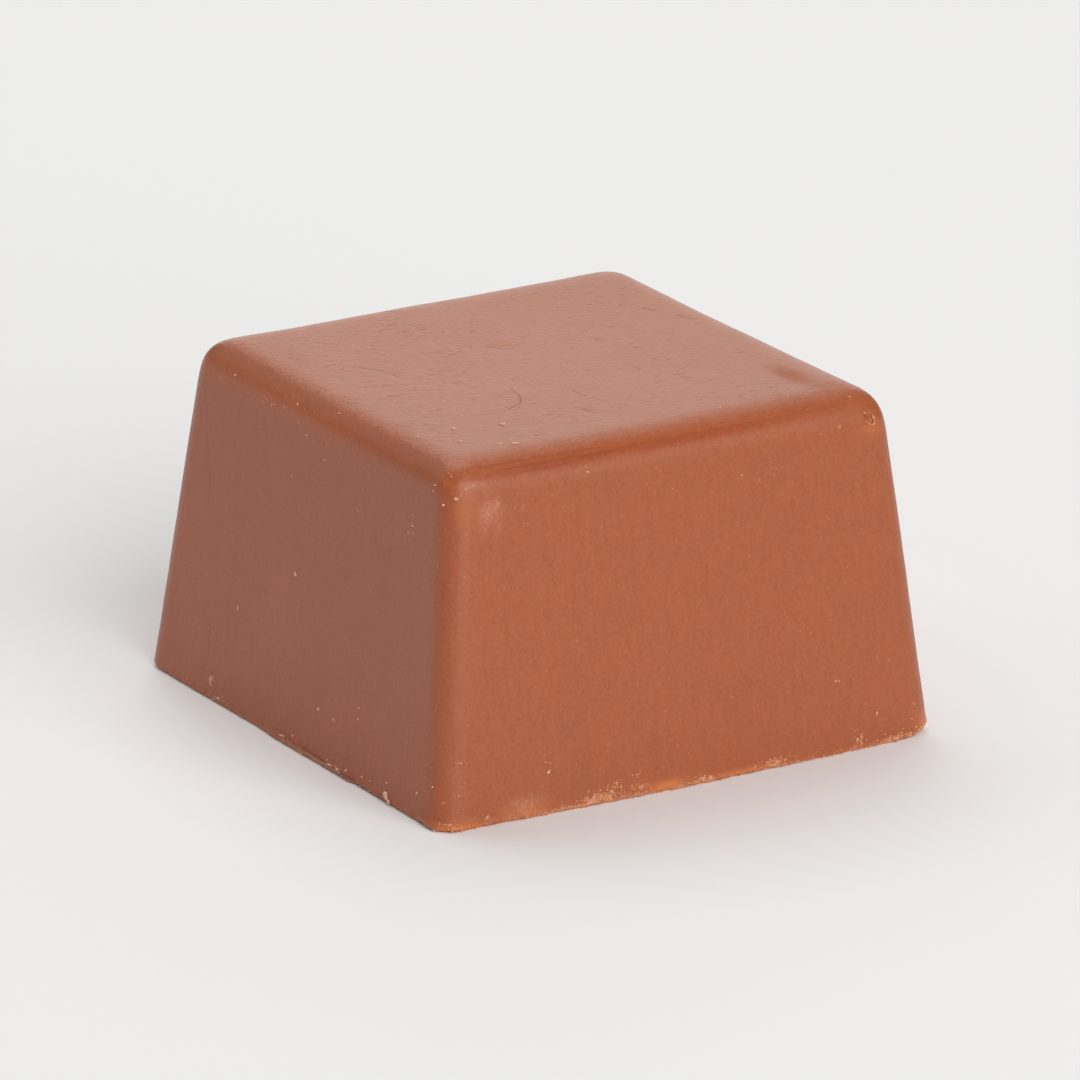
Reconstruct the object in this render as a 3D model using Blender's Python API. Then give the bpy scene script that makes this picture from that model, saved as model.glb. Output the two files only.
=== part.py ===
"""A square moulded chocolate bonbon in one piece, standing on its scraped side.

The block tapers upwards. Its upright edges and its top edges are rounded, the top
edges more than the others, and the flat base is the side that was scraped level in
the mould. The slight unevenness of the real thing is part of the shape: corners that
lean, sides that bow, a top that sags, base corners worn by different amounts, and thin
lips of chocolate along the left side of the base and round its front corner.

+Z is up, and the origin is the middle of the base. The front corner points to -X -Y,
so the left face looks along -X and the front face along -Y.
"""

import math

import bmesh
import bpy
import numpy as np

MM = 0.001

# The block as the mould gives it
BASE_WIDTH = 27.0 * MM
HEIGHT = 16.6 * MM
TOP_WIDTH = 23.4 * MM  # where the slanted sides would meet the plane of the top
BASE_EDGE_RADIUS = 0.25 * MM

# The round edges. A size is how far an edge reaches from where its two faces would meet.
# A power of 2 would give a quarter circle; more gives a tighter middle and longer ends.
TOP_EDGE = {"right": 2.2 * MM, "back": 2.7 * MM, "left": 1.9 * MM, "front": 2.3 * MM}
TOP_EDGE_POWER = 3.0
UPRIGHT_EDGE = 1.5 * MM
UPRIGHT_EDGE_POWER = 2.5
TOP_CORNER = 0.5 * MM  # size of the upright edges where they run out on the top

# Each corner: its side of the middle in plan, how far it stands off the even square at
# the base and at the top, and the radius to which its base edge is worn
CORNERS = {
    "back": {
        "side": (1, 1),
        "base_lean": (0.00 * MM, 0.00 * MM),
        "top_lean": (-0.15 * MM, 0.09 * MM),
        "wear": 0.35 * MM,
    },
    "left": {
        "side": (-1, 1),
        "base_lean": (0.04 * MM, -0.04 * MM),
        "top_lean": (0.10 * MM, -0.01 * MM),
        "wear": 0.33 * MM,
    },
    "front": {
        "side": (-1, -1),
        "base_lean": (0.04 * MM, 0.02 * MM),
        "top_lean": (-0.13 * MM, 0.04 * MM),
        "wear": 0.20 * MM,
    },
    "right": {
        "side": (1, -1),
        "base_lean": (0.06 * MM, -0.07 * MM),
        "top_lean": (0.04 * MM, -0.04 * MM),
        "wear": 0.60 * MM,
    },
}
WEAR_REACH = 2.0 * MM

# How far the middle of each side bows outwards at the base, and how far the middle of
# each top edge sags (the middle of the top sags twice as far)
BOW = {"right": 0.05 * MM, "back": 0.05 * MM, "left": -0.05 * MM, "front": 0.35 * MM}
EDGE_SAG = 0.06 * MM
SAG_START = 10.0 * MM

# The lips of chocolate pressed out along the base: one on the left face, between two
# places along Y, and one round the front corner, out to a distance from it
LIP_HEIGHT = 0.42 * MM
LIP_DEPTH = 0.10 * MM
LIP_RUN = (-6.0 * MM, 2.4 * MM)
LIP_TAPER = 0.8 * MM
LIP_TOP = 0.08 * MM  # the height over which a lip ends
FOOT_REACH = 2.2 * MM

# How finely the surface is divided
STRAIGHT_PARTS = 20
CORNER_PARTS = 4
CORNER_SHARE = 0.1  # of half a side, for the lines across the round corner
RIM_HEIGHTS = np.array([0.0, 0.03, 0.10, 0.20, 0.32, 0.42, 0.50, 0.70, 1.10]) * MM
SIDE_ROWS = 7
TOP_EDGE_ROWS = 8

CHOCOLATE_COLOUR = (0.370, 0.091, 0.033, 1.0)
CHOCOLATE_ROUGHNESS = 0.42
SHARP_ANGLE = 40  # degrees between faces, past which an edge is shown sharp


def clear_scene():
    for item in list(bpy.data.objects):
        bpy.data.objects.remove(item, do_unlink=True)


def smooth_step(value, low, high):
    """0 below low, 1 above high, and an S curve between them."""
    share = np.clip((value - low) / (high - low), 0.0, 1.0)
    return share * share * (3.0 - 2.0 * share)


def draft_angle():
    """The angle of the sides off the upright."""
    return math.atan2((BASE_WIDTH - TOP_WIDTH) / 2, HEIGHT)


def by_side(across, along, values):
    """The value of the left or right side and that of the front or back side, for points
    that lie between them."""
    x_value = np.where(across > 0, values["right"], values["left"])
    y_value = np.where(along > 0, values["back"], values["front"])
    return x_value, y_value


def nearest_side(across, along, values):
    """One value round the outline: the nearest side's, eased from one side to the next
    over the corner between them."""
    x_value, y_value = by_side(across, along, values)
    lead = np.abs(across) - np.abs(along)
    share = smooth_step(lead, -2 * CORNER_SHARE, 2 * CORNER_SHARE)
    return y_value + (x_value - y_value) * share


def row_heights(across, along):
    """The heights of the rows of points, one column for each place round the outline:
    close together at the foot, even up the side, and at even turns of the top edge."""
    edge = nearest_side(across, along, TOP_EDGE)
    start = HEIGHT - edge
    share = np.linspace(0.0, 1.0, SIDE_ROWS + 1)[1:, None]
    side = RIM_HEIGHTS[-1] + (start - RIM_HEIGHTS[-1]) * share
    turns = np.linspace(0.0, math.pi / 2, TOP_EDGE_ROWS + 1)[1:, None]
    over = start + edge * np.sin(turns) ** (2 / TOP_EDGE_POWER)
    return np.concatenate([np.repeat(RIM_HEIGHTS[:, None], len(edge), axis=1), side, over])


def side_stations():
    """Where the lines across a side lie, from -1 to 1: evenly along its straight part
    and closer together over the round corner at each end."""
    straight = 1.0 - CORNER_SHARE
    middle = np.linspace(-straight, straight, STRAIGHT_PARTS + 1)
    end = np.linspace(straight, 1.0, CORNER_PARTS + 1)[1:]
    return np.concatenate([-end[::-1], middle, end])


def top_edge_inset(height, size):
    """How far a round top edge of this size lies inside the slanted side."""
    rise = np.clip(1.0 - (HEIGHT - height) / size, 0.0, 1.0)
    return size * (1.0 - (1.0 - rise**TOP_EDGE_POWER) ** (1 / TOP_EDGE_POWER))


def outline(across, along, half_x, half_y, corner):
    """Points on a rectangle with round corners. across and along run over it from -1 to
    1, and the larger of them is 1 on every point."""
    straight = 1.0 - CORNER_SHARE
    on_x_side = np.abs(across) >= np.abs(along)
    travel = np.where(on_x_side, along, across)
    end = np.where(on_x_side, across, along)
    half_end = np.where(on_x_side, half_x, half_y)
    half_beside = np.where(on_x_side, half_y, half_x)
    turn = np.clip((np.abs(travel) - straight) / CORNER_SHARE, 0.0, 1.0) * math.pi / 4
    power = 2 / UPRIGHT_EDGE_POWER
    flat = (half_beside - corner) * np.clip(np.abs(travel) / straight, 0.0, 1.0)
    beside = np.copysign(flat + corner * np.sin(turn) ** power, travel)
    outward = np.copysign(half_end - corner + corner * np.cos(turn) ** power, end)
    return np.where(on_x_side, outward, beside), np.where(on_x_side, beside, outward)


def worn_radius(x, y):
    """The radius of the base edge along the outline, larger near the worn corners."""
    radius = np.full(x.shape, BASE_EDGE_RADIUS)
    for corner in CORNERS.values():
        corner_x = corner["side"][0] * BASE_WIDTH / 2
        corner_y = corner["side"][1] * BASE_WIDTH / 2
        distance = np.hypot(x - corner_x, y - corner_y)
        near = 1.0 - smooth_step(distance, UPRIGHT_EDGE / 3, WEAR_REACH)
        radius += near * (corner["wear"] - BASE_EDGE_RADIUS)
    return radius


def base_edge_inset(height, radius):
    """How far the round base edge lies inside the side."""
    drop = np.clip(radius - height, 0.0, radius)
    return radius - np.sqrt(radius**2 - drop**2)


def lean_and_bow(x, y, height, half_width):
    """The shift in plan of each point, from the leaning corners and the bowed sides."""
    rise = height / HEIGHT
    part_x, part_y = x / half_width, y / half_width
    shift_x, shift_y = np.zeros(x.shape), np.zeros(x.shape)
    for corner in CORNERS.values():
        share = (1 + corner["side"][0] * part_x) * (1 + corner["side"][1] * part_y) / 4
        for shift, axis in ((shift_x, 0), (shift_y, 1)):
            base, top = corner["base_lean"][axis], corner["top_lean"][axis]
            shift += share * (base + (top - base) * rise)
    bow_x = np.where(part_x > 0, BOW["right"], -BOW["left"]) * np.abs(part_x)
    bow_y = np.where(part_y > 0, BOW["back"], -BOW["front"]) * np.abs(part_y)
    shift_x += bow_x * (1 - part_y**2) * (1 - rise)
    shift_y += bow_y * (1 - part_x**2) * (1 - rise)
    return shift_x, shift_y


def top_sag(x, y, height, half_width):
    """How far each point sinks: most in the middle of the top, and nothing at its corners
    or low on the sides."""
    hollow = np.clip(2.0 - (x / half_width) ** 2 - (y / half_width) ** 2, 0.0, 2.0)
    return EDGE_SAG * hollow * smooth_step(height, SAG_START, HEIGHT)


def lip_push(x, y, height):
    """How far the lips stand out of the sides: one along a run of the left face, and one
    round the front corner. Both stop sharply, low on the side."""
    half = BASE_WIDTH / 2
    along = smooth_step(y, LIP_RUN[0], LIP_RUN[0] + LIP_TAPER)
    along *= 1.0 - smooth_step(y, LIP_RUN[1] - LIP_TAPER, LIP_RUN[1])
    on_left_face = smooth_step(-x, 0.92 * half, 0.96 * half)
    distance = np.hypot(x + half, y + half)
    round_corner = 1.0 - smooth_step(distance, FOOT_REACH / 2, FOOT_REACH)
    below_top = 1.0 - smooth_step(height, LIP_HEIGHT, LIP_HEIGHT + LIP_TOP)
    return LIP_DEPTH * np.maximum(along * on_left_face, round_corner) * below_top


def surface_points(across, along, height):
    """The block's surface. across and along run from -1 to 1 over the square in plan. On
    a side the larger of them is 1. Inside the base or the top, it is the share of the way
    from the middle of that face to its edge."""
    reach = np.maximum(np.abs(across), np.abs(along))
    middle = reach == 0
    across = np.where(middle, 1.0, across / np.where(middle, 1.0, reach))
    along = np.where(middle, 0.0, along / np.where(middle, 1.0, reach))

    side_half = BASE_WIDTH / 2 - height * math.tan(draft_angle())
    size_x, size_y = by_side(across, along, TOP_EDGE)
    inset_x, inset_y = top_edge_inset(height, size_x), top_edge_inset(height, size_y)
    share = (inset_x / size_x + inset_y / size_y) / 2
    corner = UPRIGHT_EDGE + (TOP_CORNER - UPRIGHT_EDGE) * share
    x, y = outline(across, along, side_half - inset_x, side_half - inset_y, corner)

    worn = base_edge_inset(height, worn_radius(x, y))
    swell = 1.0 + (lip_push(x, y, height) - worn) / (BASE_WIDTH / 2)
    x, y = x * swell * reach, y * swell * reach

    shift_x, shift_y = lean_and_bow(x, y, height, side_half)
    sag = top_sag(x, y, height, side_half)
    return np.stack([x + shift_x, y + shift_y, height - sag], axis=-1)


def closed_lattice(parts, rows):
    """A box with one unit to each cell of its skin: parts by parts cells on the base and
    the top, and rows of cells up the sides."""
    shape = bmesh.new()
    bmesh.ops.create_grid(shape, x_segments=parts, y_segments=parts, size=parts / 2)
    top = shape.faces[:]
    for row in range(rows):
        edges = list({edge for face in top for edge in face.edges})
        grown = bmesh.ops.extrude_face_region(shape, geom=top + edges, use_keep_orig=row == 0)
        top = [item for item in grown["geom"] if isinstance(item, bmesh.types.BMFace)]
        points = [item for item in grown["geom"] if isinstance(item, bmesh.types.BMVert)]
        bmesh.ops.translate(shape, verts=points, vec=(0, 0, 1))
    bmesh.ops.recalc_face_normals(shape, faces=shape.faces)
    return shape


def chocolate():
    material = bpy.data.materials.new("milk chocolate")
    material.use_nodes = True
    surface = material.node_tree.nodes["Principled BSDF"]
    surface.inputs["Base Color"].default_value = CHOCOLATE_COLOUR
    surface.inputs["Roughness"].default_value = CHOCOLATE_ROUGHNESS
    surface.inputs["Metallic"].default_value = 0.0
    return material


def make_bonbon():
    stations = side_stations()
    parts = len(stations) - 1
    shape = closed_lattice(parts, len(RIM_HEIGHTS) + SIDE_ROWS + TOP_EDGE_ROWS - 1)
    mesh = bpy.data.meshes.new("bonbon")
    shape.to_mesh(mesh)
    shape.free()

    cells = np.empty(len(mesh.vertices) * 3, np.float32)
    mesh.vertices.foreach_get("co", cells)
    cells = cells.reshape(-1, 3) + (parts / 2, parts / 2, 0)
    column, line, row = np.rint(cells).astype(int).T
    across, along = stations[column], stations[line]
    heights = row_heights(across, along)[row, np.arange(len(row))]
    points = surface_points(across, along, heights)
    points[:, :2] -= (points[:, :2].min(axis=0) + points[:, :2].max(axis=0)) / 2
    mesh.vertices.foreach_set("co", points.astype(np.float32).ravel())
    mesh.materials.append(chocolate())
    mesh.shade_smooth()
    mesh.set_sharp_from_angle(angle=math.radians(SHARP_ANGLE))
    mesh.update()

    bonbon = bpy.data.objects.new("bonbon", mesh)
    bpy.context.scene.collection.objects.link(bonbon)
    return bonbon


clear_scene()
make_bonbon()
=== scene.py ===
import math

import bmesh
import bpy
import numpy as np
from mathutils import Matrix, Quaternion, Vector


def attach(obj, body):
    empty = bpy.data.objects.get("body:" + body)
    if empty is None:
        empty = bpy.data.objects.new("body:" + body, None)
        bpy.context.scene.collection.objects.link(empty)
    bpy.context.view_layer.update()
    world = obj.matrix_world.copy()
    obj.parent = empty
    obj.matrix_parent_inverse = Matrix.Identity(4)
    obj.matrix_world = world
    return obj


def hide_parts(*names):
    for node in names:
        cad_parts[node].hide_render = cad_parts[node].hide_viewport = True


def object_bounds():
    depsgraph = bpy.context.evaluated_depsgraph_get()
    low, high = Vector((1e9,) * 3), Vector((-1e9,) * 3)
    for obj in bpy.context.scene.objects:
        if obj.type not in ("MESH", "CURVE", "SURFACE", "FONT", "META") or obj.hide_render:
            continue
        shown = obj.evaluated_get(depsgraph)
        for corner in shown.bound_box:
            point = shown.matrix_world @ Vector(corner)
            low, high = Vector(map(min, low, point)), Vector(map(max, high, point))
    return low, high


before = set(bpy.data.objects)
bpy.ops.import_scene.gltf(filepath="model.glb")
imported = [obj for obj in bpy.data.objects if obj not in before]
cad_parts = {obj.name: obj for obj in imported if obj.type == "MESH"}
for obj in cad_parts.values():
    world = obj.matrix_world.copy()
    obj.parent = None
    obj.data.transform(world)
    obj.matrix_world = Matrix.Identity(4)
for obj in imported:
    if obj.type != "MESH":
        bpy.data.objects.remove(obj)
cadBox = [list(corner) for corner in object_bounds()]
mm = 0.001
print("frame loaded")


def smoothStep(value, low, high):
    # 0 below low, 1 above high, t * t * (3 - 2 t) between them
    t = np.clip((value - low) / (high - low), 0, 1)
    return t * t * (3 - 2 * t)


def waves(points, length, seed, count=28):
    # sum of count sines, each with its own direction and a wavelength near length,
    # scaled so that the spread of the result is about 1
    draw = np.random.default_rng(seed)
    way = draw.normal(size=(count, 3))
    way /= np.linalg.norm(way, axis=1, keepdims=True)
    turn = 2 * np.pi / length * draw.uniform(0.7, 1.4, (count, 1))
    start = draw.uniform(0, 2 * np.pi, count)
    return np.sin(points @ (way * turn).T + start).sum(axis=1) / math.sqrt(count / 2)


# the block, as the frame's solid is made but finer
block = {
    "baseWidth": 27,
    "height": 16.6,
    "topWidth": 23.4,  # where the slanted sides would meet the plane of the top
    "topEdge": {"right": 2.2, "back": 2.7, "left": 1.9, "front": 2.3},
    "topEdgePower": 3,  # 2 would be a quarter circle, more is tighter in its middle
    "uprightEdge": 1.5,
    "uprightEdgePower": 2.5,
    "topCorner": 0.5,  # size of the upright edges where they run out on the top
    "baseEdge": 0.25,
    "wearReach": 2,
    # side of the middle, lean at the base, lean at the top, worn radius of the base edge
    "corners": {
        "back": ((1, 1), (0, 0), (-0.15, 0.09), 0.35),
        "left": ((-1, 1), (0.04, -0.04), (0.1, -0.01), 0.33),
        "front": ((-1, -1), (0.04, 0.02), (-0.13, 0.04), 0.2),
        "right": ((1, -1), (0.06, -0.07), (0.04, -0.04), 0.6),
    },
    "bow": {"right": 0.05, "back": 0.05, "left": -0.05, "front": 0.35},
    "edgeSag": 0.06,
    "sagStart": 10,
    "lipHeight": 0.42,
    "lipDepth": 0.1,
    "lipRun": (-6, 2.4),
    "lipTaper": 0.8,
    "lipTop": 0.08,
    "faceStarts": (0.92, 0.96),  # share of the half width where the left face's lip begins
    "footReach": 2.2,
    "middle": (0.024, -0.17),  # of the footprint, moved to the origin
    "cornerShare": 0.1,
    "straightColumns": 136,
    "cornerColumns": 10,
    "footRows": 24,
    "footRowsTop": 1.4,
    "footSpacing": 1.3,  # over 1 draws the rows together towards the base
    "sideRows": 36,
    "edgeRows": 22,
    "baseRings": 20,
    "ringSpacing": 0.7,  # under 1 draws the rings together towards the outline
}
baseHalf = block["baseWidth"] / 2
draftAngle = math.atan2((block["baseWidth"] - block["topWidth"]) / 2, block["height"])


def edgeSizes(across, along):
    # size of the top edge on the left or right side, and on the front or back side
    edge = block["topEdge"]
    sizeX = np.where(across > 0, edge["right"], edge["left"])
    return sizeX, np.where(along > 0, edge["back"], edge["front"])


def nearestEdge(across, along):
    # the nearest side's size, eased from one side to the next over the corner
    sizeX, sizeY = edgeSizes(across, along)
    ease = 2 * block["cornerShare"]
    return sizeY + (sizeX - sizeY) * smoothStep(np.abs(across) - np.abs(along), -ease, ease)


def topEdgeInset(height, size):
    # size * (1 - (1 - w^p)^(1/p)), w rising from 0 where the edge starts to 1 at the top
    w = np.clip(1 - (block["height"] - height) / size, 0, 1)
    power = block["topEdgePower"]
    return size * (1 - (1 - w**power) ** (1 / power))


def roundSquare(across, along, halfX, halfY, size):
    # across and along run over the rectangle from -1 to 1; the last cornerShare of each
    # side is bent into half a corner: size * (sin(turn)^(2/p), cos(turn)^(2/p))
    straight = 1 - block["cornerShare"]
    power = 2 / block["uprightEdgePower"]
    onXSide = np.abs(across) >= np.abs(along)
    end, travel = np.where(onXSide, (across, along), (along, across))
    halfEnd, halfBeside = np.where(onXSide, (halfX, halfY), (halfY, halfX))
    turn = np.clip((np.abs(travel) - straight) / block["cornerShare"], 0, 1) * math.pi / 4
    flat = (halfBeside - size) * np.clip(np.abs(travel) / straight, 0, 1)
    beside = np.copysign(flat + size * np.sin(turn) ** power, travel)
    outward = np.copysign(halfEnd - size + size * np.cos(turn) ** power, end)
    return np.where(onXSide, (outward, beside), (beside, outward))


def wornRadius(x, y):
    # baseEdge along the sides, and each corner's own radius close to that corner
    radius = np.full(x.shape, block["baseEdge"])
    for side, _, _, worn in block["corners"].values():
        distance = np.hypot(x - side[0] * baseHalf, y - side[1] * baseHalf)
        near = 1 - smoothStep(distance, block["uprightEdge"] / 3, block["wearReach"])
        radius += near * (worn - block["baseEdge"])
    return radius


def lipPush(x, y, height):
    # lipDepth on a run of the left face and round the front corner, below lipHeight
    start, stop = block["lipRun"]
    along = smoothStep(y, start, start + block["lipTaper"])
    along = along * (1 - smoothStep(y, stop - block["lipTaper"], stop))
    onLeftFace = smoothStep(-x / baseHalf, *block["faceStarts"])
    distance = np.hypot(x + baseHalf, y + baseHalf)
    roundCorner = 1 - smoothStep(distance, block["footReach"] / 2, block["footReach"])
    below = 1 - smoothStep(height, block["lipHeight"], block["lipHeight"] + block["lipTop"])
    return block["lipDepth"] * np.maximum(along * onLeftFace, roundCorner) * below


def leanAndBow(x, y, height, halfWidth):
    # corners shift linearly over the plan and up the height; each side bows by
    # bow * (1 - t^2) along it, fading to nothing at the top
    rise = height / block["height"]
    u, v = x / halfWidth, y / halfWidth
    shiftX, shiftY = np.zeros(x.shape), np.zeros(x.shape)
    for side, base, top, _ in block["corners"].values():
        share = (1 + side[0] * u) * (1 + side[1] * v) / 4
        shiftX += share * (base[0] + (top[0] - base[0]) * rise)
        shiftY += share * (base[1] + (top[1] - base[1]) * rise)
    bow = block["bow"]
    shiftX += np.where(u > 0, bow["right"], -bow["left"]) * np.abs(u) * (1 - v**2) * (1 - rise)
    shiftY += np.where(v > 0, bow["back"], -bow["front"]) * np.abs(v) * (1 - u**2) * (1 - rise)
    return shiftX, shiftY


def blockSurface(across, along, height):
    # a round-cornered square that shrinks by the draft and the top edge's inset, with
    # the worn base edge taken off, the lips put on, and the leans, bows and sag added
    reach = np.maximum(np.abs(across), np.abs(along))
    safe = np.where(reach == 0, 1, reach)
    u, v = np.where(reach == 0, 1, across / safe), np.where(reach == 0, 0, along / safe)
    sideHalf = baseHalf - height * math.tan(draftAngle)
    sizeX, sizeY = edgeSizes(u, v)
    insetX, insetY = topEdgeInset(height, sizeX), topEdgeInset(height, sizeY)
    share = (insetX / sizeX + insetY / sizeY) / 2
    corner = block["uprightEdge"] + (block["topCorner"] - block["uprightEdge"]) * share
    x, y = roundSquare(u, v, sideHalf - insetX, sideHalf - insetY, corner)
    worn = wornRadius(x, y)
    drop = np.clip(worn - height, 0, worn)
    footInset = worn - np.sqrt(worn**2 - drop**2)
    swell = 1 + (lipPush(x, y, height) - footInset) / baseHalf
    x, y = x * swell * reach, y * swell * reach
    shiftX, shiftY = leanAndBow(x, y, height, sideHalf)
    hollow = np.clip(2 - (x / sideHalf) ** 2 - (y / sideHalf) ** 2, 0, 2)
    sag = block["edgeSag"] * hollow * smoothStep(height, block["sagStart"], block["height"])
    middle = block["middle"]
    return np.stack([x + shiftX - middle[0], y + shiftY - middle[1], height - sag], axis=-1)


def rowHeights(across, along):
    # one row per height and one column per place round the outline: close together at
    # the foot, even up the side, and at even turns of the top edge
    size = nearestEdge(across, along)
    edgeStart = block["height"] - size
    foot = block["footRowsTop"] * np.linspace(0, 1, block["footRows"] + 1) ** block["footSpacing"]
    share = np.linspace(0, 1, block["sideRows"] + 1)[1:, None]
    side = block["footRowsTop"] + (edgeStart - block["footRowsTop"]) * share
    turn = np.linspace(0, np.pi / 2, block["edgeRows"] + 1)[1:, None]
    edge = edgeStart + size * np.sin(turn) ** (2 / block["topEdgePower"])
    return np.concatenate([np.repeat(foot[:, None], len(size), axis=1), side, edge])


def faceRows(*corners):
    # one face per row, from an array for each of its corners
    return np.stack(corners, axis=-1).reshape(-1, len(corners))


def stations():
    # places from -1 to 1 along one side: even in the middle, then even over each corner
    straight = 1 - block["cornerShare"]
    middle = np.linspace(-straight, straight, block["straightColumns"] + 1)
    end = np.linspace(straight, 1, block["cornerColumns"] + 1)[1:]
    return np.concatenate([-end[::-1], middle, end])


def blockLattice():
    # points, four-sided faces and triangles: rings of columns up the sides, a square
    # lattice on the top that shares the last ring, and rings towards one middle point
    # underneath
    s = stations()
    n = len(s) - 1
    ones = np.ones(n)
    u = np.concatenate([s[:-1], ones, -s[:-1], -ones])
    v = np.concatenate([-ones, s[:-1], ones, -s[:-1]])
    heights = rowHeights(u, v)
    rows, around = heights.shape
    across, along, height = np.tile(u, rows), np.tile(v, rows), heights.ravel()
    ring = np.arange(rows * around).reshape(rows, around)
    nextOver = np.roll(ring, -1, axis=1)
    faces = [faceRows(ring[:-1], nextOver[:-1], nextOver[1:], ring[1:])]

    grid = np.full((n + 1, n + 1), -1)
    grid[:-1, 0], grid[-1, :-1], grid[:0:-1, -1], grid[0, :0:-1] = ring[-1].reshape(4, n)
    inside = grid < 0
    count = rows * around
    grid[inside] = count + np.arange(inside.sum())
    gridAcross, gridAlong = np.meshgrid(s, s, indexing="ij")
    across = np.append(across, gridAcross[inside])
    along = np.append(along, gridAlong[inside])
    height = np.append(height, np.full(inside.sum(), block["height"]))
    faces.append(faceRows(grid[:-1, :-1], grid[1:, :-1], grid[1:, 1:], grid[:-1, 1:]))

    count = len(across)
    rings = [ring[0]]
    for share in np.linspace(1, 0, block["baseRings"] + 1)[1:-1] ** block["ringSpacing"]:
        across, along = np.append(across, u * share), np.append(along, v * share)
        height = np.append(height, np.zeros(around))
        rings.append(count + np.arange(around))
        count += around
    under = np.stack(rings)
    nextUnder = np.roll(under, -1, axis=1)
    faces.append(faceRows(under[:-1], under[1:], nextUnder[1:], nextUnder[:-1]))
    across, along, height = (np.append(part, 0) for part in (across, along, height))
    fan = faceRows(under[-1], np.full(around, count), nextUnder[-1])
    return blockSurface(across, along, height), np.concatenate(faces), fan


def pointNormals(points, quads, triangles):
    # the sum of the normals of the faces round each point, made one long
    total = np.zeros(points.shape)
    for face in (quads[:, :3], quads[:, [0, 2, 3]], triangles):
        a, b, c = (points[face[:, k]] for k in range(3))
        normal = np.cross(b - a, c - a)
        for k in range(3):
            for axis in range(3):
                total[:, axis] += np.bincount(face[:, k], normal[:, axis], len(points))
    return total / np.linalg.norm(total, axis=1, keepdims=True)


def meshObject(name, points, faces, smooth=True):
    # the points times mm, in metres, and the faces as lists of their corners
    mesh = bpy.data.meshes.new(name)
    mesh.from_pydata((points * mm).tolist(), [], faces, shade_flat=not smooth)
    mesh.validate()
    item = bpy.data.objects.new(name, mesh)
    bpy.context.scene.collection.objects.link(item)
    return item


def addAttribute(item, name, values):
    # one number per point, for the material to read
    attribute = item.data.attributes.new(name, "FLOAT", "POINT")
    attribute.data.foreach_set("value", values.astype(np.float32))


def bumpField(points, spots):
    # sum of strength * exp(-(dx / reachX)^2 - (dy / reachY)^2 - (dz / reachZ)^2)
    total = np.zeros(len(points))
    for place, reach, strength in spots:
        total += strength * np.exp(-(((points - place) / reach) ** 2).sum(axis=1))
    return total


def heightBand(points, halfHeight, middle=0):
    # exp(-((z - middle) / halfHeight)^2)
    return np.exp(-(((points[:, 2] - middle) / halfHeight) ** 2))


def toRight(points, starts):
    # 0 at the left and back, 1 at the front and right, by x - y
    return smoothStep(points[:, 0] - points[:, 1], *starts)


# wear of the skin
nickPlace = (10.5, -11.62, 15.42)
wear = {
    "pull": 0.035,  # how far the skin lies inside the frame's solid, room for the relief
    # wavelength, height and seed of the unevenness; the last is that of the flat side
    "broad": (9, 0.007, 3),
    "fine": (2.2, 0.003, 4),
    "rim": (0.5, 0.022, 5),
    "scrape": (2.4, 0.012, 6),
    "rimHeight": 0.35,
    # the pale line along the base on the right is a painted glow of light thrown up from the floor,
    # partly real crumbs
    "bandHeight": 0.2,  # of the pale line along the base on the right
    "bandShare": {"crumbled": 0.9, "warmed": 0.6},
    "bandStarts": (0.5, 2.5),  # x - y where the line begins and where it is full
    "bandEnds": (0.02, 0.06),  # and how far in from the outline it runs out underneath
    "scrapeStarts": (0.03, 0.12),
    "scrapeStretch": (1, 0.15, 1),
    "flatBelow": 0.01,
    # middle, reach along x, y and z, depth; a hollow is below 0
    "relief": {
        "nick": (nickPlace, (0.2, 0.35, 0.16), -0.13),
        "rightCorner": ((8.9, -8.7, 16.55), (0.8, 0.7, 1), -0.03),
        "topDent": ((-0.45, 3, 16.5), (0.5, 0.5, 1), -0.03),
        "topPress": ((-1.8, -7.1, 16.5), (0.35, 0.4, 1), -0.03),
        "nearPress": ((-6.8, 2, 16.5), (0.3, 0.5, 1), -0.02),
        "hump": ((-11.5, -11.35, 15.13), (0.2, 0.25, 0.15), 0.03),
    },
}
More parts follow.
